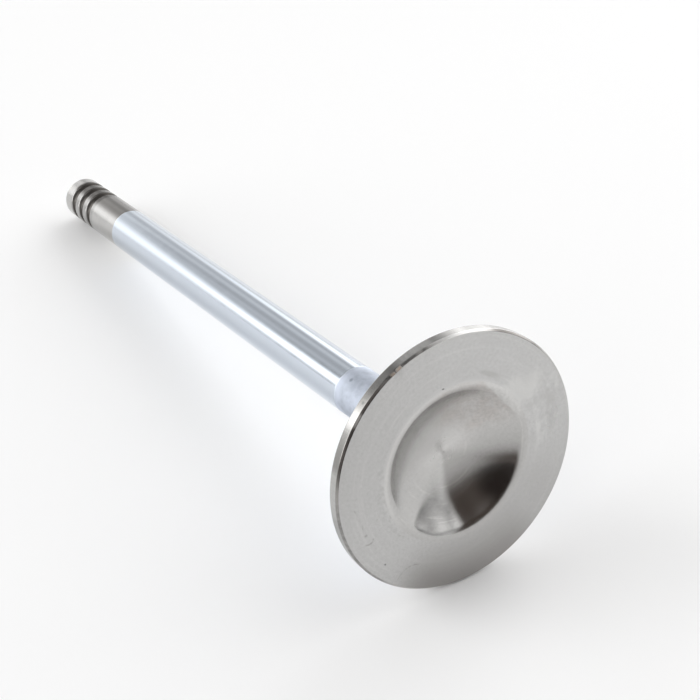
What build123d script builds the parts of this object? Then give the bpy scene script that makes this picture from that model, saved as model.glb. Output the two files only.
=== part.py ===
from build123d import *
from math import atan, cos, radians, sin, sqrt, tan
import os

# Poppet valve of a piston engine, turned and ground from one piece of steel.
# Millimetres. The flat rim of the head lies on Z = 0, the centre of the head is
# the origin, and the stem runs up +Z to its tip.

# Head
head_diameter = 40.0
rim_chamfer_width = 0.28
rim_chamfer_height = 0.34
margin_height = 1.4
seat_angle = 45.0
seat_width = 2.4
back_angle = 20.0

# Dish turned into the middle of the head
dish_diameter = 24.6
dish_depth = 3.9
dish_roll_radius = 2.6

# Neck and stem
overall_length = 131.5
stem_diameter = 7.95
neck_radius = 15.0
plating_start = 27.0
plating_length = 81.5
plating_thickness = 0.02

# Keeper grooves and tip
groove_count = 3
groove_pitch = 3.4
groove_radius = 1.0
groove_depth = 0.6
groove_lip_radius = 0.15
tip_to_first_groove = 4.6
tip_chamfer = 0.8

os.makedirs("parts", exist_ok=True)

head_radius = head_diameter / 2
stem_radius = stem_diameter / 2
blank_radius = stem_radius - plating_thickness
plating_end = plating_start + plating_length

# Dish: a spherical bowl that meets the flat rim in a rolled edge. The roll is
# tangent to both the bowl and the rim.
dish_radius = dish_diameter / 2
dish_slope = 2 * atan(dish_depth / dish_radius)
bowl_radius = dish_radius / sin(dish_slope) - dish_roll_radius
bowl_bottom = (0, dish_depth)
bowl_edge = (bowl_radius * sin(dish_slope), dish_roll_radius * (1 - cos(dish_slope)))
dish_edge = (dish_radius, 0)
dish = [
    RadiusArc(bowl_bottom, bowl_edge, bowl_radius),
    RadiusArc(bowl_edge, dish_edge, -dish_roll_radius),
]

# Outer edge of the head: small chamfer, plain margin, then the ground seat.
margin_front = (head_radius, rim_chamfer_height)
margin_back = (head_radius, rim_chamfer_height + margin_height)
seat_back = (
    margin_back[0] - seat_width * cos(radians(seat_angle)),
    margin_back[1] + seat_width * sin(radians(seat_angle)),
)

# Back of the head: a shallow cone that runs into the stem through the neck arc.
neck_sweep = radians(90 - back_angle)
cone_end_radius = blank_radius + neck_radius * (1 - cos(neck_sweep))
cone_rise = (seat_back[0] - cone_end_radius) * tan(radians(back_angle))
cone_end = (cone_end_radius, seat_back[1] + cone_rise)
neck_end = (blank_radius, cone_end[1] + neck_radius * sin(neck_sweep))

# One keeper groove: a round floor between two rounded lips, all tangent.
groove_centre_radius = blank_radius + groove_radius - groove_depth
lip_centre_radius = blank_radius - groove_lip_radius
centre_distance = groove_radius + groove_lip_radius
lip_height = sqrt(centre_distance**2 - (groove_centre_radius - lip_centre_radius) ** 2)
floor_share = groove_radius / centre_distance
floor_radius = groove_centre_radius + floor_share * (
    lip_centre_radius - groove_centre_radius
)
floor_height = floor_share * lip_height


def keeper_groove(height):
    low_lip = (blank_radius, height - lip_height)
    floor_low = (floor_radius, height - floor_height)
    floor_high = (floor_radius, height + floor_height)
    high_lip = (blank_radius, height + lip_height)
    return [
        RadiusArc(low_lip, floor_low, -groove_lip_radius),
        RadiusArc(floor_low, floor_high, groove_radius),
        RadiusArc(floor_high, high_lip, -groove_lip_radius),
    ]


# Half section from the bottom of the bowl, round the head and up to the tip.
top_groove = overall_length - tip_to_first_groove
groove_heights = [
    top_groove - groove_pitch * i for i in reversed(range(groove_count))
]
outline = [
    *dish,
    Polyline(
        dish_edge,
        (head_radius - rim_chamfer_width, 0),
        margin_front,
        margin_back,
        seat_back,
        cone_end,
    ),
    RadiusArc(cone_end, neck_end, neck_radius),
    Polyline(
        neck_end,
        (blank_radius, plating_start),
        (stem_radius, plating_start),
        (stem_radius, plating_end),
        (blank_radius, plating_end),
        (blank_radius, groove_heights[0] - lip_height),
    ),
]
for height in groove_heights:
    outline += keeper_groove(height)
for height in groove_heights[:-1]:
    land_start = (blank_radius, height + lip_height)
    outline.append(Line(land_start, (blank_radius, height + groove_pitch - lip_height)))
outline.append(
    Polyline(
        (blank_radius, top_groove + lip_height),
        (blank_radius, overall_length - tip_chamfer),
        (blank_radius - tip_chamfer, overall_length),
        (0, overall_length),
        bowl_bottom,
    )
)

valve = revolve(Plane.XZ * make_face(outline), Axis.Z)

export_step(valve, "parts/valve.step")
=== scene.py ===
import math

import bpy
import numpy as np
from mathutils import Matrix


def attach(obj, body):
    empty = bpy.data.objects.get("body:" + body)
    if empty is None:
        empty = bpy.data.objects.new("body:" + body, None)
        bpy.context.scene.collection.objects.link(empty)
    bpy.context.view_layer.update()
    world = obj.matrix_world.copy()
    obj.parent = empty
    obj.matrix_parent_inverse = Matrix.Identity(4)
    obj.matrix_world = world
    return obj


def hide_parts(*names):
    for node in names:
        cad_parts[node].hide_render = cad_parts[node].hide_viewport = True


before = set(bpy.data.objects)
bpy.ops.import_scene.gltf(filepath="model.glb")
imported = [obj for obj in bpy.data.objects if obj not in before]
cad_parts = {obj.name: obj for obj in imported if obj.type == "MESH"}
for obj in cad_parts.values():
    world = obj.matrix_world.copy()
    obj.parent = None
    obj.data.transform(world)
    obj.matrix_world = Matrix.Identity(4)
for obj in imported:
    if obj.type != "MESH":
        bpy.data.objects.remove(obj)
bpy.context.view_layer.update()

# A poppet valve, standing on its head. Lengths below are in millimetres and
# become metres when a mesh is made.
MM = 0.001

# Camera. It looks at the valve as if it lay on a table. Here the valve stands, so
# the camera is low, on the side of the dish, and rolled.
CAMERA_PLACE = (-165.237, 0.0, -167.579)
CAMERA_RIGHT = (0.624316, -0.578465, -0.524984)
CAMERA_AHEAD = (0.633902, -0.017582, 0.773214)
FOCAL_PIXELS = 1666.93
PICTURE_PIXELS = 700
SENSOR_WIDTH = 36.0
CLIP_METRES = (0.005, 20)

# Head
HEAD_RADIUS = 20.0
RIM_CHAMFER_WIDTH = 0.28
RIM_CHAMFER_HEIGHT = 0.34
MARGIN_HEIGHT = 1.4
SEAT_ANGLE = math.radians(45)
SEAT_WIDTH = 2.4
BACK_ANGLE = math.radians(20)
DISH_RADIUS = 12.3
DISH_DEPTH = 3.9
DISH_ROLL = 2.6

# Stem
LENGTH = 131.5
STEM_RADIUS = 3.975
BARE_RADIUS = 3.955
NECK_RADIUS = 15.0
PLATING_START = 27.0
PLATING_END = 108.5
PLATING_RAMP = 0.06  # over which the plating rises from the bare stem
GROOVE_HEIGHTS = (120.1, 123.5, 126.9)
GROOVE_RADIUS = 1.0
GROOVE_DEPTH = 0.6
GROOVE_LIP = 0.15
TIP_CHAMFER = 0.8

# Small rounds on sharp edges: face, front and back of the margin, seat and tip.
HEAD_ROUNDS = (0.05, 0.07, 0.08, 0.12)
TIP_ROUNDS = (0.2, 0.2)

SEGMENTS = 320  # steps round the axis
# Small dents in the front edge of the rim: direction in degrees, half length and depth.
NICKS = ((194.6, 0.8, 0.1), (208.5, 0.35, 0.06))
NICK_INWARD = (0.7, 0.4)  # how far inside the rim they start, and over what width they grow
NICK_UPWARD = (0.9, 0.6)  # the height at which they end, and over what height they fade

# The surface that the valve lies on touches its rim and its tip on this side.
LYING_SIDE = math.radians(42)
HEAD_CONTACT = (HEAD_RADIUS, RIM_CHAMFER_HEIGHT + MARGIN_HEIGHT)
TIP_CONTACT = (BARE_RADIUS, LENGTH - TIP_CHAMFER)


def place_camera():
    """Puts the camera where the three fitted directions say, with the fitted focal length."""
    data = bpy.data.cameras.new("camera")
    data.sensor_width = SENSOR_WIDTH
    data.lens = FOCAL_PIXELS / PICTURE_PIXELS * SENSOR_WIDTH
    data.clip_start, data.clip_end = CLIP_METRES
    right, ahead = np.array(CAMERA_RIGHT), np.array(CAMERA_AHEAD)
    above = np.cross(right, ahead)
    turn = np.identity(4)
    turn[:3, 0], turn[:3, 1], turn[:3, 2] = right, above, -ahead
    turn[:3, 3] = np.array(CAMERA_PLACE) * MM
    camera = bpy.data.objects.new("camera", data)
    bpy.context.scene.collection.objects.link(camera)
    camera.matrix_world = Matrix(turn.tolist())
    bpy.context.scene.camera = camera


place_camera()


# Shader maths


class Value:
    """A number in a shader. Arithmetic on it adds Math nodes to the same shader."""

    def __init__(self, shader, socket):
        self.shader, self.socket = shader, socket

    def __add__(self, other):
        return self.shader.maths("ADD", self, other)

    __radd__ = __add__

    def __mul__(self, other):
        return self.shader.maths("MULTIPLY", self, other)

    __rmul__ = __mul__

    def __sub__(self, other):
        return self.shader.maths("SUBTRACT", self, other)

    def __rsub__(self, other):
        return self.shader.maths("SUBTRACT", other, self)

    def __truediv__(self, other):
        return self.shader.maths("DIVIDE", self, other)

    def __rtruediv__(self, other):
        return self.shader.maths("DIVIDE", other, self)


class Shader:
    """The node tree of a material or of the world."""

    def __init__(self, owner):
        owner.use_nodes = True
        self.tree = owner.node_tree
        self.tree.nodes.clear()

    def node(self, kind, settings=None, inputs=None):
        """Adds a node of a type: its settings first, then a value or a link for each input."""
        made = self.tree.nodes.new(kind)
        for name, setting in (settings or {}).items():
            setattr(made, name, setting)
        for name, given in (inputs or {}).items():
            if isinstance(given, Value):
                given = given.socket
            if isinstance(given, bpy.types.NodeSocket):
                self.tree.links.new(given, made.inputs[name])
            else:
                made.inputs[name].default_value = given
        return made

    def maths(self, operation, *values):
        """A Math node."""
        inputs = dict(enumerate(values))
        return Value(self, self.node("ShaderNodeMath", {"operation": operation}, inputs).outputs[0])

    def most(self, *values):
        """The largest of some values."""
        largest = values[0]
        for value in values[1:]:
            largest = self.maths("MAXIMUM", largest, value)
        return largest

    def vector(self, operation, *vectors):
        """A Vector Math node. Operations whose answer is a number give a Value."""
        inputs = dict(enumerate(vectors))
        made = self.node("ShaderNodeVectorMath", {"operation": operation}, inputs)
        if operation in ("DOT_PRODUCT", "LENGTH", "DISTANCE"):
            return Value(self, made.outputs["Value"])
        return made.outputs["Vector"]

    def scaled(self, vector, factor):
        """A vector times a number."""
        settings = {"operation": "SCALE"}
        return self.node("ShaderNodeVectorMath", settings, {0: vector, "Scale": factor}).outputs[0]

    def join(self, x, y, z):
        """A vector of three values."""
        return self.node("ShaderNodeCombineXYZ", None, {0: x, 1: y, 2: z}).outputs[0]

    def fade(self, value, start, end):
        """0 before start, 1 after end, and a smooth step between them."""
        inputs = {"Value": value, "From Min": start, "From Max": end}
        settings = {"interpolation_type": "SMOOTHSTEP"}
        return Value(self, self.node("ShaderNodeMapRange", settings, inputs).outputs[0])

    def band(self, value, start, full, ebb, end):
        """1 between full and ebb, and 0 before start and after end."""
        return self.fade(value, start, full) * (1 - self.fade(value, ebb, end))

    def mix(self, share, first, second):
        """The first colour where share is 0, and the second where it is 1."""
        inputs = {0: share, 6: first, 7: second}
        return self.node("ShaderNodeMix", {"data_type": "RGBA"}, inputs).outputs[2]

    def noise(self, place, scale, detail=2.0, roughness=0.5):
        """Soft noise from 0 to 1. Scale is in waves per unit of place."""
        inputs = {"Vector": place, "Scale": scale, "Detail": detail, "Roughness": roughness}
        return Value(self, self.node("ShaderNodeTexNoise", None, inputs).outputs[0])


ACROSS_LAY = 0.25  # a quarter turn: light spreads across the turning marks


class Finish(Shader):
    """A metal finish on the valve. Its places are millimetres in the valve's own frame."""

    def __init__(self, name):
        self.material = bpy.data.materials.new(name)
        super().__init__(self.material)
        self.place = self.scaled(self.node("ShaderNodeTexCoord").outputs["Object"], 1 / MM)
        parts = self.node("ShaderNodeSeparateXYZ", None, {0: self.place}).outputs
        self.x, self.y, self.z = (Value(self, socket) for socket in parts)
        outward = self.join(self.x, self.y, 0.0)
        self.radius = self.vector("LENGTH", outward)
        self.around = self.vector("NORMALIZE", outward)
        parts = self.node("ShaderNodeSeparateXYZ", None, {0: self.around}).outputs
        self.cosine, self.sine = (Value(self, socket) for socket in parts[:2])

    def start(self, share, first, second):
        """The first colours of the finish: one where share is 0, and the other where it is 1."""
        self.colour = self.mix(share, (*first, 1), (*second, 1))

    def paint(self, share, tint):
        """Lays a colour over the finish: nothing of it where share is 0, and all where it is 1."""
        self.colour = self.mix(share, self.colour, (*tint, 1))

    def grain(self, across, waves_round, waves_across, detail=3.0):
        """Noise that runs round the axis: few waves round it, many per millimetre across."""
        place = self.join(
            self.cosine * waves_round, self.sine * waves_round, across * waves_across
        )
        return self.noise(place, 1.0, detail, 0.6)

    def grit(self):
        """Fine even speckle of ground steel."""
        return self.fade(self.noise(self.place, 2.2, 4.0, 0.75), 0.35, 0.7)

    def dot(self, middle, core, reach):
        """1 within core of a point, and 0 past reach."""
        return 1 - self.fade(self.vector("DISTANCE", self.place, middle), core, reach)

    def blot(self, x, y, length, width, angle=0.0, soft=0.4, ragged=0.0):
        """1 inside an ellipse on the face, and 0 outside it, with a soft and ragged edge.

        The ellipse has its middle at x and y and its half length along angle, in degrees.
        """
        turn = math.radians(angle)
        east, north = self.x - x, self.y - y
        along = (east * math.cos(turn) + north * math.sin(turn)) * (1 / length)
        aside = (north * math.cos(turn) - east * math.sin(turn)) * (1 / width)
        reach = self.vector("LENGTH", self.join(along, aside, 0.0))
        if ragged:
            reach = reach + (self.noise(self.place, 1.1, 4.0, 0.65) - 0.5) * ragged
        return 1 - self.fade(reach, 1 - soft, 1 + soft)

    def loop(self, x, y, size, width, angle, inner, outer):
        """1 on part of a thin circle on the face, whose middle is at x and y.

        The part is whole within inner degrees of angle, seen from the middle, and ends at outer.
        """
        east, north = self.x - x, self.y - y
        reach = self.vector("LENGTH", self.join(east, north, 0.0))
        line = 1 - self.fade(self.maths("ABSOLUTE", reach - size), width * 0.3, width)
        turn = math.radians(angle)
        facing = (east * math.cos(turn) + north * math.sin(turn)) / reach
        edge, core = (math.cos(math.radians(limit)) for limit in (outer, inner))
        return line * self.fade(facing, edge, core)

    def sector(self, angle, inner, outer):
        """1 within inner degrees of a direction round the axis, and 0 past outer."""
        turn = math.radians(angle)
        toward = (math.cos(turn), math.sin(turn), 0.0)
        facing = self.vector("DOT_PRODUCT", self.around, toward)
        return self.fade(facing, math.cos(math.radians(outer)), math.cos(math.radians(inner)))

    def close(self, roughness, height, depth, spread=0.0):
        """Ends in one Principled shader.

        Height is a bump pattern and depth its size in millimetres. Spread says how much further
        light spreads across the turning marks than along them.
        """
        inputs = {"Strength": 1.0, "Distance": depth * MM, "Height": height}
        bump = self.node("ShaderNodeBump", None, inputs)
        inputs = {
            "Base Color": self.colour,
            "Roughness": roughness,
            "Metallic": 1.0,
            "Normal": bump.outputs[0],
            "Anisotropic": spread,
            "Anisotropic Rotation": ACROSS_LAY,
        }
        skin = self.node("ShaderNodeBsdfPrincipled", None, inputs)
        self.node("ShaderNodeOutputMaterial", None, {"Surface": skin.outputs[0]})
        return self.material


# Finishes. Colours are linear red, green and blue. Angles are directions round the axis.

DISH_DIM = (0.49, 0.485, 0.475)
DISH_PALE = (0.53, 0.525, 0.515)
DISH_GRIT = (0.39, 0.38, 0.37)
FINE_ARCS = (0.68, 0.67, 0.65)
STAIN_BROWN = (0.42, 0.362, 0.33)
WIPED_DISH = (0.64, 0.635, 0.62)
PAINTED_LIGHT_DISH = (0.65, 0.645, 0.635)
BURNISHED = (0.82, 0.81, 0.795)
ROLL_HIGHLIGHT = (0.74, 0.735, 0.72)
ROLL_SHADE = (0.28, 0.27, 0.26)
BRIGHT_ARC = (0.80, 0.79, 0.77)
CENTRE_GREY = (0.25, 0.24, 0.235)


def dish_finish():
    """Turned bowl: fine rings round the axis that spread the light across them.

    A brown stain lies on one side and ends at a wiped edge. The middle is burnished, and thin
    bright arcs run round the middle. On one side the bowl is painted lighter, with a painted
    highlight along the rolled edge and a band of painted shade under it. Roughness rises towards
    the middle, so that reflections become wedges that meet there.
    """
    f = Finish("turned_dish")
    rings = f.grain(f.radius, 2.0, 6.0)
    arcs = f.grain(f.radius, 0.8, 1.5)
    f.start(f.noise(f.place, 0.16, 3.0), DISH_DIM, DISH_PALE)
    fine_arcs = f.fade(arcs, 0.60, 0.66) * f.fade(f.radius, 2.5, 4.0)
    f.paint(fine_arcs * 0.42, FINE_ARCS)

    stain = f.sector(247, 25, 54) * f.fade(f.radius, 3.0, 6.5)
    stain = stain * (0.25 + f.fade(f.noise(f.place, 0.45, 5.0, 0.7), 0.38, 0.60) * 0.75)
    wiped = f.fade(f.x * 0.065 - f.y, 10.7, 10.95) * f.sector(270, 18, 27)
    soiled = stain * (1 - wiped)
    f.paint(soiled * 0.85, STAIN_BROWN)
    f.paint(wiped * 0.6, WIPED_DISH)
    # Painted light: one side of the bowl is made paler to stand in for the brighter room it
    # reflects.
    f.paint(f.sector(200, 75, 115) * 0.5, PAINTED_LIGHT_DISH)
    f.paint(f.grit() * (0.36 + soiled * 0.34), DISH_GRIT)
    burnished = 1 - f.fade(f.radius, 1.5, 6.5)
    f.paint(burnished * 0.34, BURNISHED)

    # Painted highlight: a pale line along the rolled edge on one side, where it catches light.
    rolled = f.fade(f.radius, 11.55, 12.0) * f.sector(190, 70, 105)
    f.paint(rolled * 0.3, ROLL_HIGHLIGHT)
    # Painted shade: a dim band just inside the rolled edge, on the same side as its highlight.
    roll_shade = f.band(f.radius, 9.2, 10.4, 11.2, 11.6) * f.sector(188, 35, 75)
    f.paint(roll_shade * 0.4, ROLL_SHADE)
    arc = f.most(f.loop(0, 0, 5.4, 0.1, 25, 16, 38), f.loop(0, 0, 5.9, 0.09, 14, 8, 24) * 0.7)
    f.paint(arc * 0.5, BRIGHT_ARC)
    centre = 1 - f.fade(f.radius, 0.25, 0.6)
    streak = f.blot(-1.2, -0.4, 0.9, 0.45, 197, 0.9, 0.4)
    f.paint(f.most(centre * 0.2, streak * 0.18), CENTRE_GREY)

    slow = 1 - f.fade(f.radius, 2.0, 8.5)
    roughness = 0.105 + rings * 0.03 + arcs * 0.02 + stain * 0.02 + slow * 0.14
    return f.close(roughness, rings, 0.0004, 1.0)


RING_DIM = (0.53, 0.528, 0.522)
RING_PALE = (0.59, 0.588, 0.582)
RING_GRIT = (0.44, 0.434, 0.427)
RING_LINES = (0.66, 0.655, 0.645)
WIPED_RING = (0.66, 0.655, 0.64)
MOTTLE_DIM = (0.41, 0.40, 0.39)
MOTTLE_PALE = (0.68, 0.675, 0.66)
GREASE = (0.42, 0.41, 0.40)
SCRATCHED = (0.32, 0.31, 0.30)
CHATTER = (0.38, 0.37, 0.36)
SPECK = (0.10, 0.10, 0.10)
PAINTED_SHADE_RIM = (0.28, 0.266, 0.254)
PAINTED_SHADE_WIDE = (0.40, 0.39, 0.38)

# Faint scratches on the ring: x, y, half length, half width and angle.
FAINT_SCRATCHES = (
    (-11.9, 12.4, 0.5, 0.1, 120),
    (-10.5, 13.7, 0.45, 0.08, 20),
    (-6.3, 13.0, 0.22, 0.12, 70),
    (-7.6, 15.0, 0.4, 0.09, 35),
    (-0.7, 13.0, 0.45, 0.12, 165),
    (-6.3, 15.6, 0.4, 0.16, 110),
    (8.4, 8.4, 0.3, 0.14, 135),
)


def ring_finish():
    """Ground ring of the face: even grey with faint rings, grit and soft clouds.

    It is paler beside the dish on one side, a painted highlight, and wiped and mottled on another;
    painted shade darkens a third, most towards the rim. Light scratches, chatter marks and dark
    specks lie on it.
    """
    f = Finish("ground_face")
    rings = f.grain(f.radius, 3.0, 5.0)
    f.start(f.noise(f.place, 0.22, 4.0, 0.55), RING_DIM, RING_PALE)
    f.paint(f.grit() * 0.5, RING_GRIT)
    f.paint(f.fade(f.grain(f.radius, 1.0, 1.8), 0.5, 0.66) * 0.25, RING_LINES)
    # Painted highlight: the ring is paler just beside the dish, on the same side as the rolled
    # edge's highlight.
    ring_roll_highlight = (1 - f.fade(f.radius, 12.35, 12.9)) * f.sector(190, 70, 105)
    f.paint(ring_roll_highlight * 0.4, RING_LINES)

    wiped = f.blot(1.6, -13.4, 4.0, 2.4, 300, 0.35, 0.9)
    wiped = wiped * (1 - f.blot(-1.0, -16.6, 3.0, 1.3, 20, 0.5, 0.6))
    f.paint(wiped * 0.55, WIPED_RING)
    mottled = f.blot(7.6, -13.6, 5.4, 3.0, 52, 0.5, 0.6)
    patches = f.noise(f.place, 0.42, 4.0, 0.64)
    f.paint(mottled * f.fade(patches, 0.50, 0.62) * 0.32, MOTTLE_DIM)
    f.paint(mottled * (1 - f.fade(patches, 0.38, 0.47)) * 0.4, MOTTLE_PALE)
    greasy = f.blot(10.2, -13.4, 1.6, 0.8, 60, 0.6, 1.2)
    lens = f.blot(-4.9, -12.6, 1.9, 0.4, 342, 0.45, 0.25)
    f.paint(greasy * 0.2 + lens * 0.55, GREASE)

    scratch = f.most(
        f.loop(-5.4, 15.9, 0.75, 0.2, 20, 40, 80),
        f.loop(6.47, 17.73, 2.92, 0.12, 205, 32, 44),
        *(f.blot(*place, 0.6, 0.5) * 0.8 for place in FAINT_SCRATCHES),
    )
    scratch = scratch * f.fade(f.noise(f.place, 2.4, 3.0), 0.40, 0.56)
    f.paint(scratch * 0.75, SCRATCHED)
    chatter = f.band(f.radius, 12.2, 12.5, 13.2, 13.8) * f.sector(122, 22, 34)
    chatter = chatter * f.fade(f.noise(f.place, 1.5, 4.0, 0.6), 0.48, 0.60)
    f.paint(chatter * 0.3, CHATTER)
    specks = f.most(f.blot(-10.4, -7.0, 0.22, 0.11, 130), f.blot(-0.1, 17.6, 0.15, 0.13))
    f.paint(specks * 0.75, SPECK)

    # Painted shade: darker on one side, most towards the rim, standing in for the shaded table that
    # the ring reflects.
    painted_shade = f.sector(40, 18, 44) * f.fade(f.radius, 11.0, 19.5)
    f.paint(painted_shade * 0.74, PAINTED_SHADE_RIM)
    f.paint(f.sector(15, 22, 60) * 0.3, PAINTED_SHADE_WIDE)
    roughness = 0.22 + rings * 0.06 + greasy * 0.05
    return f.close(roughness, rings, 0.0016, 0.4)


EDGE_DIM = (0.36, 0.355, 0.345)
EDGE_PALE = (0.57, 0.565, 0.555)
CHAMFER_GREY = (0.36, 0.335, 0.315)
BURNT_AND_SHADED = (0.055, 0.048, 0.044)
PITTED = (0.15, 0.15, 0.148)
CHAMFER_HIGHLIGHT = (0.80, 0.79, 0.78)
WORN_AND_SHADED = (0.20, 0.195, 0.185)
BRONZE = (0.57, 0.455, 0.375)
EDGE_SPECK = (0.15, 0.15, 0.15)
MARGIN_SPECK = (-19.98, 0.85, 0.92)  # where a dark speck on the margin is
STREAKS_ROUND = 70.0  # waves of the streaks over a radian of the edge


def edge_finish():
    """Chamfer, margin and seat: ground, with short streaks across the edge.

    The chamfer is dark on two sides, partly from dark brown oxide and partly as painted shade,
    pitted on a third, and carries a painted highlight on a fourth. The margin has four places of
    wear, painted shade at a fifth place, and a speck, and a nick in the edge shows bronze in two
    spots.
    """
    f = Finish("ground_edge")
    place = f.join(f.cosine * STREAKS_ROUND, f.sine * STREAKS_ROUND, f.z * 0.5)
    streaks = f.noise(place, 1.0, 4.0, 0.65)
    rings = f.grain(f.z, 3.0, 7.0)
    f.start(streaks, EDGE_DIM, EDGE_PALE)

    chamfer = 1 - f.fade(f.z, 0.30, 0.42)
    f.paint(chamfer * 0.4, CHAMFER_GREY)
    gap = 1 - f.sector(170.5, 1, 4) * 0.5
    # Darker chamfer on two sides: partly dark brown oxide, partly painted shade for the dark room
    # it reflects.
    burnt_and_shaded = chamfer * (f.sector(168, 15, 28) * gap + f.sector(257, 8, 18) * 0.7)
    f.paint(burnt_and_shaded * 0.94, BURNT_AND_SHADED)
    spots = f.fade(f.noise(f.place, 1.1, 4.0, 0.7), 0.42, 0.58)
    pitted = chamfer * f.sector(108, 18, 30) * (0.4 + spots * 0.6)
    f.paint(pitted * 0.6, PITTED)
    # Painted highlight on the chamfer on one side.
    f.paint(chamfer * f.sector(226, 7, 18) * 0.85, CHAMFER_HIGHLIGHT)

    # Four places of wear on the margin; the one at 241 degrees is painted shade instead.
    worn_and_shaded = f.most(
        f.sector(157, 6, 12),
        f.sector(186, 8, 15),
        f.sector(116, 5, 14) * 0.6,
        f.sector(220, 3, 8) * 0.5,
        f.sector(241, 4, 14) * 0.6,
    )
    f.paint(worn_and_shaded * (1 - chamfer) * 0.75, WORN_AND_SHADED)
    nick = f.most(f.sector(193.3, 0.5, 1.5), f.sector(196.4, 0.6, 1.7))
    nick = nick * (1 - f.fade(f.z, 0.22, 0.5))
    chipped = nick * f.fade(f.noise(f.place, 3.4, 3.0, 0.6), 0.36, 0.50) * 0.75
    f.paint(chipped, BRONZE)
    f.paint(f.dot(MARGIN_SPECK, 0.1, 0.4) * 0.45, EDGE_SPECK)
    roughness = 0.15 + streaks * 0.16 + chipped * 0.3
    return f.close(roughness, rings, 0.002, 0.4)


MATT_DIM = (0.40, 0.43, 0.485)
MATT_PALE = (0.50, 0.535, 0.60)
MATT_RIM = (0.60, 0.64, 0.72)
NECK_PIT_DARK = (0.14, 0.16, 0.19)
NECK_PIT = (-3.87, -0.82, 24.93)  # where a small dark pit is, beside the end of the chrome
CHROME_DIM = (0.57, 0.62, 0.685)
CHROME_PALE = (0.61, 0.66, 0.73)


def stem_finish():
    """Neck and running length: matt lilac grey under the head, polished chrome above it.

    The matt part is paler just under the chrome, which ends in a slightly ragged line.
    """
    f = Finish("plated_stem")
    height = f.z + (f.noise(f.place, 0.4, 3.0) - 0.5)
    plated = f.fade(height, PLATING_START - 0.2, PLATING_START + 0.3)
    rim = f.fade(height, PLATING_START - 2.2, PLATING_START - 0.4) * (1 - plated)
    rings = f.grain(f.z, 1.0, 4.0)
    mottle = f.noise(f.place, 0.7, 4.0, 0.6)
    f.start(f.fade(mottle, 0.3, 0.7), MATT_DIM, MATT_PALE)
    f.paint(rim * 0.5, MATT_RIM)
    f.paint(f.dot(NECK_PIT, 0.1, 0.5) * 0.55, NECK_PIT_DARK)
    matt = f.colour
    f.start(rings, CHROME_DIM, CHROME_PALE)
    f.colour = f.mix(plated, matt, f.colour)
    roughness = 0.64 + mottle * 0.1 - plated * (0.55 - rings * 0.03)
    return f.close(roughness, rings, 0.0006)


TIP_DIM = (0.43, 0.425, 0.415)
TIP_PALE = (0.53, 0.525, 0.515)
PAINTED_SIDE_SHADE = (0.14, 0.13, 0.12)
GRIME_AND_SHADE = (0.06, 0.055, 0.05)


def tip_finish():
    """Bare end of the stem: ground steel, warmer and rougher than the chrome.

    Grime lies in the grooves and thinly between them. One side is painted darker as shade, and the
    grooves on that side darker still.
    """
    f = Finish("bare_tip")
    rings = f.grain(f.z + f.radius, 1.5, 6.0)
    f.start(f.noise(f.place, 0.5, 3.0), TIP_DIM, TIP_PALE)
    grime = 1 - f.fade(f.radius, BARE_RADIUS - 0.25, BARE_RADIUS - 0.02)
    grime = grime * (1 - f.fade(f.z, LENGTH - 3.0, LENGTH - 2.4))
    lowest, highest = GROOVE_HEIGHTS[0], GROOVE_HEIGHTS[-1]
    # Painted shade: one side of the tip is darker, standing in for the dark it reflects.
    side_shade = f.sector(238, 34, 62) * (1 - f.fade(f.z, highest + 1.1, highest + 1.9))
    f.paint(side_shade * 0.75, PAINTED_SIDE_SHADE)
    grooved = f.band(f.z, lowest - 2.5, lowest - 1.7, highest + 1.1, highest + 1.7)
    # Grime in the grooves and thinly between them, with painted shade making the grooves darker on
    # the shaded side.
    f.paint(f.most(grime, grooved * (0.25 + side_shade * 0.5)) * 0.95, GRIME_AND_SHADE)
    roughness = 0.11 + rings * 0.08 + grime * 0.25
    return f.close(roughness, rings, 0.002, 0.3)


# Shape


def run(start, end, step=1.6, hug=0.03):
    """Even points on a straight run, with one more close inside each end to keep it flat."""
    start, end = np.array(start, float), np.array(end, float)
    length = np.hypot(*(end - start))
    share = np.linspace(0, 1, max(2, int(np.ceil(length / step)) + 1))
    if length > 4 * hug:
        share = np.sort(np.append(share, (hug / length, 1 - hug / length)))
    return start + share[:, None] * (end - start)


def arc(centre, radius, start, end, step=3.0):
    """Points on a circle in the half section. Angles are in degrees from the outward direction."""
    count = max(3, int(np.ceil(abs(end - start) / step)) + 1)
    angle = np.radians(np.linspace(start, end, count))
    return np.array(centre) + radius * np.stack([np.cos(angle), np.sin(angle)], 1)


def broken_corner(before, corner, after, size, count=7):
    """A small round on a sharp corner, as a quadratic curve that is tangent to both runs."""
    before, corner, after = (np.array(p, float) for p in (before, corner, after))
    start = corner + (before - corner) / np.hypot(*(before - corner)) * size
    end = corner + (after - corner) / np.hypot(*(after - corner)) * size
    t = np.linspace(0, 1, count)[:, None]
    return (1 - t) ** 2 * start + 2 * t * (1 - t) * corner + t**2 * end


def faceted(corners, breaks):
    """Straight runs between corners, with a small round of the given size at each inner corner."""
    rounds = [
        broken_corner(*corners[i : i + 3], size) for i, size in enumerate(breaks)
    ]
    starts = [np.array(corners[0], float)] + [bend[-1] for bend in rounds]
    ends = [bend[0] for bend in rounds] + [np.array(corners[-1], float)]
    runs = [run(start, end) for start, end in zip(starts, ends)]
    return runs, rounds


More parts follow.
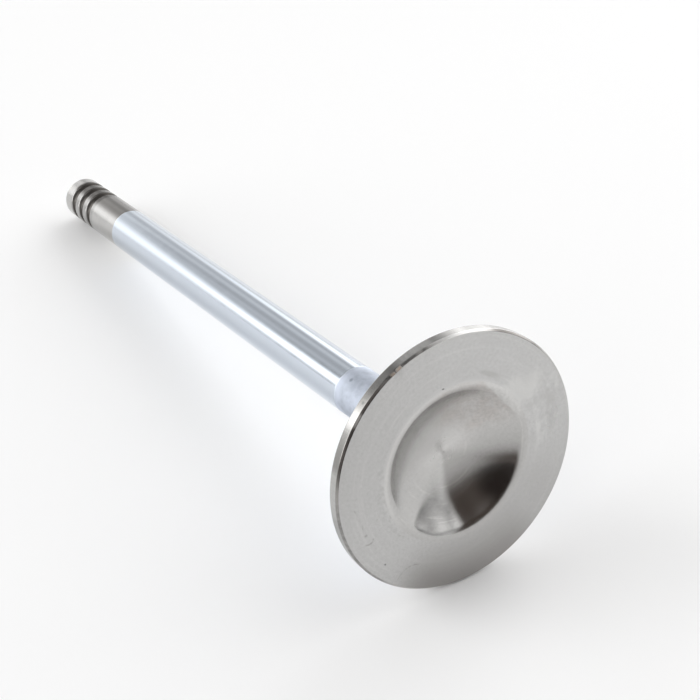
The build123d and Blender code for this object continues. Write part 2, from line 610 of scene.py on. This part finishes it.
def head_outline():
    """Half section of the head, as pieces with their finish, and the height where the stem starts.

    The bowl is an arc round a point on the axis. The roll is an arc round a point over the dish's
    edge, tangent to the bowl and to the flat ring. Then come chamfer, margin, seat and back cone,
    and the neck is an arc that is tangent to the cone and to the stem.
    """
    slope = 2 * math.atan(DISH_DEPTH / DISH_RADIUS)
    bowl = DISH_RADIUS / math.sin(slope) - DISH_ROLL
    tilt = math.degrees(slope)
    bowl_points = arc((0, DISH_DEPTH - bowl), bowl, 90, 90 - tilt, 1.0)
    roll_points = arc((DISH_RADIUS, DISH_ROLL), DISH_ROLL, 270 - tilt, 270)
    seat_back = (
        HEAD_RADIUS - SEAT_WIDTH * math.cos(SEAT_ANGLE),
        HEAD_CONTACT[1] + SEAT_WIDTH * math.sin(SEAT_ANGLE),
    )
    sweep = math.pi / 2 - BACK_ANGLE
    cone_radius = BARE_RADIUS + NECK_RADIUS * (1 - math.cos(sweep))
    cone_end = (cone_radius, seat_back[1] + (seat_back[0] - cone_radius) * math.tan(BACK_ANGLE))
    neck_top = cone_end[1] + NECK_RADIUS * math.sin(sweep)
    corners = [
        (DISH_RADIUS, 0),
        (HEAD_RADIUS - RIM_CHAMFER_WIDTH, 0),
        (HEAD_RADIUS, RIM_CHAMFER_HEIGHT),
        HEAD_CONTACT,
        seat_back,
        cone_end,
    ]
    runs, rounds = faceted(corners, HEAD_ROUNDS)
    edges = [(piece, "edge") for pair in zip(rounds, runs[1:]) for piece in pair]
    neck_centre = (BARE_RADIUS + NECK_RADIUS, neck_top)
    neck = arc(neck_centre, NECK_RADIUS, 180 + math.degrees(sweep), 180, 2.0)
    return [
        (bowl_points, "dish"),
        (roll_points, "dish"),
        (runs[0], "ring"),
        *edges[:-1],
        (runs[-1], "stem"),
        (neck, "stem"),
    ], neck_top


def groove_outline(height):
    """Half section of one keeper groove: a round floor between two rounded lips, all tangent."""
    centre = BARE_RADIUS + GROOVE_RADIUS - GROOVE_DEPTH
    lip = BARE_RADIUS - GROOVE_LIP
    gap = GROOVE_RADIUS + GROOVE_LIP
    rise = math.sqrt(gap**2 - (centre - lip) ** 2)
    lean = math.degrees(math.atan2(rise, centre - lip))
    return [
        arc((lip, height - rise), GROOVE_LIP, 0, lean, 14.0),
        arc((centre, height), GROOVE_RADIUS, 180 + lean, 180 - lean, 8.0),
        arc((lip, height + rise), GROOVE_LIP, -lean, 0, 14.0),
    ]


def stem_outline(neck_top):
    """Half section from the neck to the middle of the tip. The plating stands a little proud."""
    bare_end = (BARE_RADIUS, PLATING_START - PLATING_RAMP)
    pieces = [
        (run((BARE_RADIUS, neck_top), bare_end), "stem"),
        (run((STEM_RADIUS, PLATING_START), (STEM_RADIUS, PLATING_END), 3.0), "stem"),
    ]
    start = (BARE_RADIUS, PLATING_END + PLATING_RAMP)
    for height in GROOVE_HEIGHTS:
        groove = groove_outline(height)
        pieces += [(piece, "tip") for piece in (run(start, groove[0][0]), *groove)]
        start = groove[-1][-1]
    corners = [start, TIP_CONTACT, (BARE_RADIUS - TIP_CHAMFER, LENGTH), (0, LENGTH)]
    runs, rounds = faceted(corners, TIP_ROUNDS)
    pieces += [(piece, "tip") for piece in (runs[0], rounds[0], runs[1], rounds[1], runs[2])]
    return pieces


def nicked(points):
    """Presses the dents in: each is a bell curve along the rim, and fades out over the edge."""
    radius = np.hypot(points[:, 0], points[:, 1])
    outward = points[:, :2] / radius[:, None]
    turn = np.arctan2(points[:, 1], points[:, 0]) % (2 * np.pi)
    (inside, growth), (top, fading) = NICK_INWARD, NICK_UPWARD
    near_rim = np.clip((radius - (HEAD_RADIUS - inside)) / growth, 0, 1)
    near_rim *= np.clip((top - points[:, 2]) / fading, 0, 1)
    for angle, half_length, depth in NICKS:
        along = (turn - math.radians(angle)) * HEAD_RADIUS
        press = depth * np.exp(-((along / half_length) ** 2)) * near_rim
        points[:, :2] -= outward * press[:, None]
        points[:, 2] += press
    return points


def turned_mesh(name, pieces, finishes):
    """A surface of revolution: each point of the half section, turned in equal steps round Z.

    Pieces are arrays of (radius, height) with a finish each. The first and last points are on the
    axis, where a ring shrinks to one vertex and a fan of triangles closes it.
    """
    points, bands = [], []
    for piece, finish in pieces:
        fresh = piece if not points else piece[np.hypot(*(piece - points[-1][-1]).T) > 1e-6]
        bands += [finish] * (len(fresh) - (0 if points else 1))
        points.append(fresh)
    section = np.concatenate(points)
    inner = section[1:-1]
    angle = np.arange(SEGMENTS) * (2 * np.pi / SEGMENTS)
    rings = np.stack(
        [
            inner[:, :1] * np.cos(angle),
            inner[:, :1] * np.sin(angle),
            np.repeat(inner[:, 1:], SEGMENTS, 1),
        ],
        2,
    ).reshape(-1, 3)
    ends = np.array([[0, 0, section[0, 1]], [0, 0, section[-1, 1]]])
    vertices = np.concatenate([nicked(rings), ends]) * MM
    step = np.arange(SEGMENTS)
    after = (step + 1) % SEGMENTS
    low = np.arange(len(inner) - 1)[:, None] * SEGMENTS
    quads = np.stack(
        [low + step, low + after, low + SEGMENTS + after, low + SEGMENTS + step], 2
    ).reshape(-1, 4)
    first = np.stack([np.full(SEGMENTS, len(rings)), after, step], 1)
    last_ring = (len(inner) - 1) * SEGMENTS
    last = np.stack([np.full(SEGMENTS, len(rings) + 1), last_ring + step, last_ring + after], 1)
    names = list(finishes)
    slots = np.array([names.index(finish) for finish in bands])
    face_slots = np.repeat([*slots[1:-1], slots[0], slots[-1]], SEGMENTS)
    mesh = bpy.data.meshes.new(name)
    mesh.from_pydata(vertices.tolist(), [], quads.tolist() + first.tolist() + last.tolist())
    mesh.polygons.foreach_set("material_index", face_slots.astype(np.int32))
    mesh.polygons.foreach_set("use_smooth", np.ones(len(face_slots), bool))
    for finish in finishes.values():
        mesh.materials.append(finish)
    mesh.update()
    made = bpy.data.objects.new(name, mesh)
    bpy.context.scene.collection.objects.link(made)
    return made


head, neck_top = head_outline()
body = turned_mesh(
    "valve_body",
    head + stem_outline(neck_top),
    {
        "dish": dish_finish(),
        "ring": ring_finish(),
        "edge": edge_finish(),
        "stem": stem_finish(),
        "tip": tip_finish(),
    },
)
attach(body, "root")
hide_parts("valve")


# Stage and light


def lying_directions():
    """Unit vectors of the surface that the valve lies on: towards the tip, to the right, and up."""
    outward = np.array([math.cos(LYING_SIDE), math.sin(LYING_SIDE), 0])
    lean = np.array(TIP_CONTACT) - np.array(HEAD_CONTACT)
    lean /= np.hypot(*lean)
    upright = np.array([0, 0, 1.0])
    along = outward * lean[0] + upright * lean[1]
    up = upright * lean[0] - outward * lean[1]
    return along, np.cross(along, up), up


ALONG, ACROSS, UP = lying_directions()
CONTACT = np.array(
    [
        HEAD_CONTACT[0] * math.cos(LYING_SIDE),
        HEAD_CONTACT[0] * math.sin(LYING_SIDE),
        HEAD_CONTACT[1],
    ]
)

PAPER = (0.96, 0.96, 0.96, 1)
PAPER_ROUGHNESS = 0.7
PAPER_GLOSS = 0.2
STAGE_REACH = 1500
BENCH_PLACE = np.array([0, 0, -0.2])  # just under the face, for views of the standing valve

# The dim side of the room: brown, between two upright edges and under a soft top.
FRONT_COLOUR = (0.080, 0.063, 0.054, 1)
FRONT_EDGES = ((149, 4), (-128, 10))  # azimuth and softness of each edge, in degrees
FRONT_TOP = (40, 54)  # elevations at which it starts to end and has ended
CORE_COLOUR = (0.018, 0.012, 0.010, 1)
CORE_PLACE = (-160, 12)  # azimuth and elevation of its darkest part
CORE_REACH = (27, 10.8)  # degrees from there to where that part starts and is whole

# The shade of that side on the table, in millimetres.
SHADE_PLACE = (-150, -110)  # along and across the table, from where the head touches it
SHADE_REACH = (45, 185)  # from there to where the shade starts to end and has ended
SHADE_SPREAD = 1 / 150  # widening per millimetre past that place

# Soft round lights of the room: azimuth, elevation and radius in degrees, and strength.
LIGHTS = (
    (0, 4, 22, 2.28),
    (20, 4, 22, 0.17),
    (40, 4, 22, 0.66),
    (60, 4, 22, 3.99),
    (80, 4, 22, 2.22),
    (100, 4, 22, 0.70),
    (140, 4, 22, 0.39),
    (160, 4, 22, 0.62),
    (-140, 4, 22, 2.93),
    (-120, 4, 22, 0.52),
    (-100, 4, 22, 1.08),
    (-80, 4, 22, 5.10),
    (-60, 4, 22, 1.46),
    (-40, 4, 22, 0.11),
    (-20, 4, 22, 1.26),
    (24, 20, 22, 0.54),
    (48, 20, 22, 1.52),
    (96, 20, 22, 0.96),
    (120, 20, 22, 0.55),
    (144, 20, 22, 0.15),
    (168, 20, 22, 1.26),
    (-72, 20, 22, 0.08),
    (-48, 20, 22, 2.95),
    (-24, 20, 22, 0.36),
    (0, 38, 25, 0.54),
    (65.5, 38, 25, 1.99),
    (98.2, 38, 25, 0.91),
    (130.9, 38, 25, 0.70),
    (163.6, 38, 25, 0.79),
    (-163.6, 38, 25, 2.86),
    (-130.9, 38, 25, 1.54),
    (-65.5, 38, 25, 2.84),
    (60, 58, 30, 0.30),
    (120, 58, 30, 0.44),
    (0, 80, 30, 0.61),
)
LIGHT_CORE = 0.2  # share of a light's radius that is fully bright
BELOW = (0.9, 0.9, 0.9, 1)  # what reflections see past the end of the table
WHITE = (1, 1, 1, 1)


def front_shade(s):
    """1 on lit paper, and 0 in the shade of the dim side, which only reflections show.

    The shade is round, and widens evenly behind its middle. Its measure is the distance to the
    middle, or behind it the distance from the line that leads away.
    """
    away = ALONG * SHADE_PLACE[0] + ACROSS * SHADE_PLACE[1]
    middle = CONTACT + away
    away /= np.linalg.norm(away)
    aside_way = np.cross(UP, away)
    place = s.scaled(s.node("ShaderNodeTexCoord").outputs["Object"], 1 / MM)
    along = s.vector("DOT_PRODUCT", place, tuple(away)) - float(middle @ away)
    aside = s.vector("DOT_PRODUCT", place, tuple(aside_way)) - float(middle @ aside_way)
    widening = s.most(along, 0.0) * SHADE_SPREAD + 1
    before = s.maths("MINIMUM", along, 0.0)
    reach = s.vector("LENGTH", s.join(before, aside / widening, 0.0))
    seen = Value(s, s.node("ShaderNodeLightPath").outputs["Is Camera Ray"])
    return s.most(s.fade(reach, *SHADE_REACH), seen)


def one_sided(name, shaded=False):
    """Plain matt paper that is seen from its front and is clear from behind."""
    material = bpy.data.materials.new(name)
    s = Shader(material)
    inputs = {
        "Base Color": s.mix(front_shade(s), FRONT_COLOUR, PAPER) if shaded else PAPER,
        "Roughness": PAPER_ROUGHNESS,
        "Specular IOR Level": PAPER_GLOSS,
    }
    front = s.node("ShaderNodeBsdfPrincipled", None, inputs)
    behind = s.node("ShaderNodeBsdfTransparent")
    back = s.node("ShaderNodeNewGeometry").outputs["Backfacing"]
    skin = s.node("ShaderNodeMixShader", None, {0: back, 1: front.outputs[0], 2: behind.outputs[0]})
    s.node("ShaderNodeOutputMaterial", None, {"Surface": skin.outputs[0]})
    return material


def plane(name, middle, first, second, material):
    """A square that reaches the same way in both directions, facing along first x second."""
    first, second = np.array(first) * STAGE_REACH, np.array(second) * STAGE_REACH
    corners = [-first - second, first - second, first + second, second - first]
    mesh = bpy.data.meshes.new(name)
    mesh.from_pydata([((middle + c) * MM).tolist() for c in corners], [], [(0, 1, 2, 3)])
    mesh.materials.append(material)
    made = bpy.data.objects.new(name, mesh)
    bpy.context.scene.collection.objects.link(made)
    return made


def sky_point(azimuth, elevation):
    """Unit vector by azimuth, from the stem's direction to the right, and by elevation."""
    a, e = math.radians(azimuth), math.radians(elevation)
    flat = ALONG * math.cos(a) + ACROSS * math.sin(a)
    return tuple(flat * math.cos(e) + UP * math.sin(e))


def round_spot(s, ray, place, edge, core):
    """1 within core degrees of a place in the sky, and 0 past edge: a smooth step on the cosine."""
    facing = s.vector("DOT_PRODUCT", ray, sky_point(*place))
    return s.fade(facing, math.cos(math.radians(edge)), math.cos(math.radians(core)))


def light_room():
    """White for the camera. Everything else sees a dim room with soft round lights in it."""
    world = bpy.context.scene.world or bpy.data.worlds.new("room")
    bpy.context.scene.world = world
    s = Shader(world)
    ray = s.node("ShaderNodeTexCoord").outputs["Generated"]

    glow = 0.0
    for azimuth, elevation, radius, strength in LIGHTS:
        spot = round_spot(s, ray, (azimuth, elevation), radius, radius * LIGHT_CORE)
        glow = spot * strength + glow
    upward = s.vector("DOT_PRODUCT", ray, tuple(UP))
    colour = s.mix(s.fade(upward, -0.05, 0.0), BELOW, glow)

    front = 1 - s.fade(upward, *(math.sin(math.radians(top)) for top in FRONT_TOP))
    for (azimuth, soft), turn in zip(FRONT_EDGES, (90, -90)):
        inside = s.vector("DOT_PRODUCT", ray, sky_point(azimuth + turn, 0))
        width = math.sin(math.radians(soft))
        front = front * s.fade(inside, -width, width)
    core = round_spot(s, ray, CORE_PLACE, *CORE_REACH)
    colour = s.mix(front, colour, s.mix(core, FRONT_COLOUR, CORE_COLOUR))

    room = s.node("ShaderNodeBackground", None, {"Color": colour, "Strength": 1.0})
    white = s.node("ShaderNodeBackground", None, {"Color": WHITE, "Strength": 1.0})
    seen = s.node("ShaderNodeLightPath").outputs["Is Camera Ray"]
    both = s.node("ShaderNodeMixShader", None, {0: seen, 1: room.outputs[0], 2: white.outputs[0]})
    s.node("ShaderNodeOutputWorld", None, {"Surface": both.outputs[0]})


plane("table", CONTACT, ACROSS, ALONG, one_sided("table_paper", shaded=True))
bench = plane("bench", BENCH_PLACE, (1, 0, 0), (0, 1, 0), one_sided("bench_paper"))
# Only the camera sees the bench, so that it takes no light from the view over the table.
bench.visible_glossy = bench.visible_diffuse = bench.visible_shadow = False
light_room()

bpy.context.scene.view_settings.view_transform = "Standard"
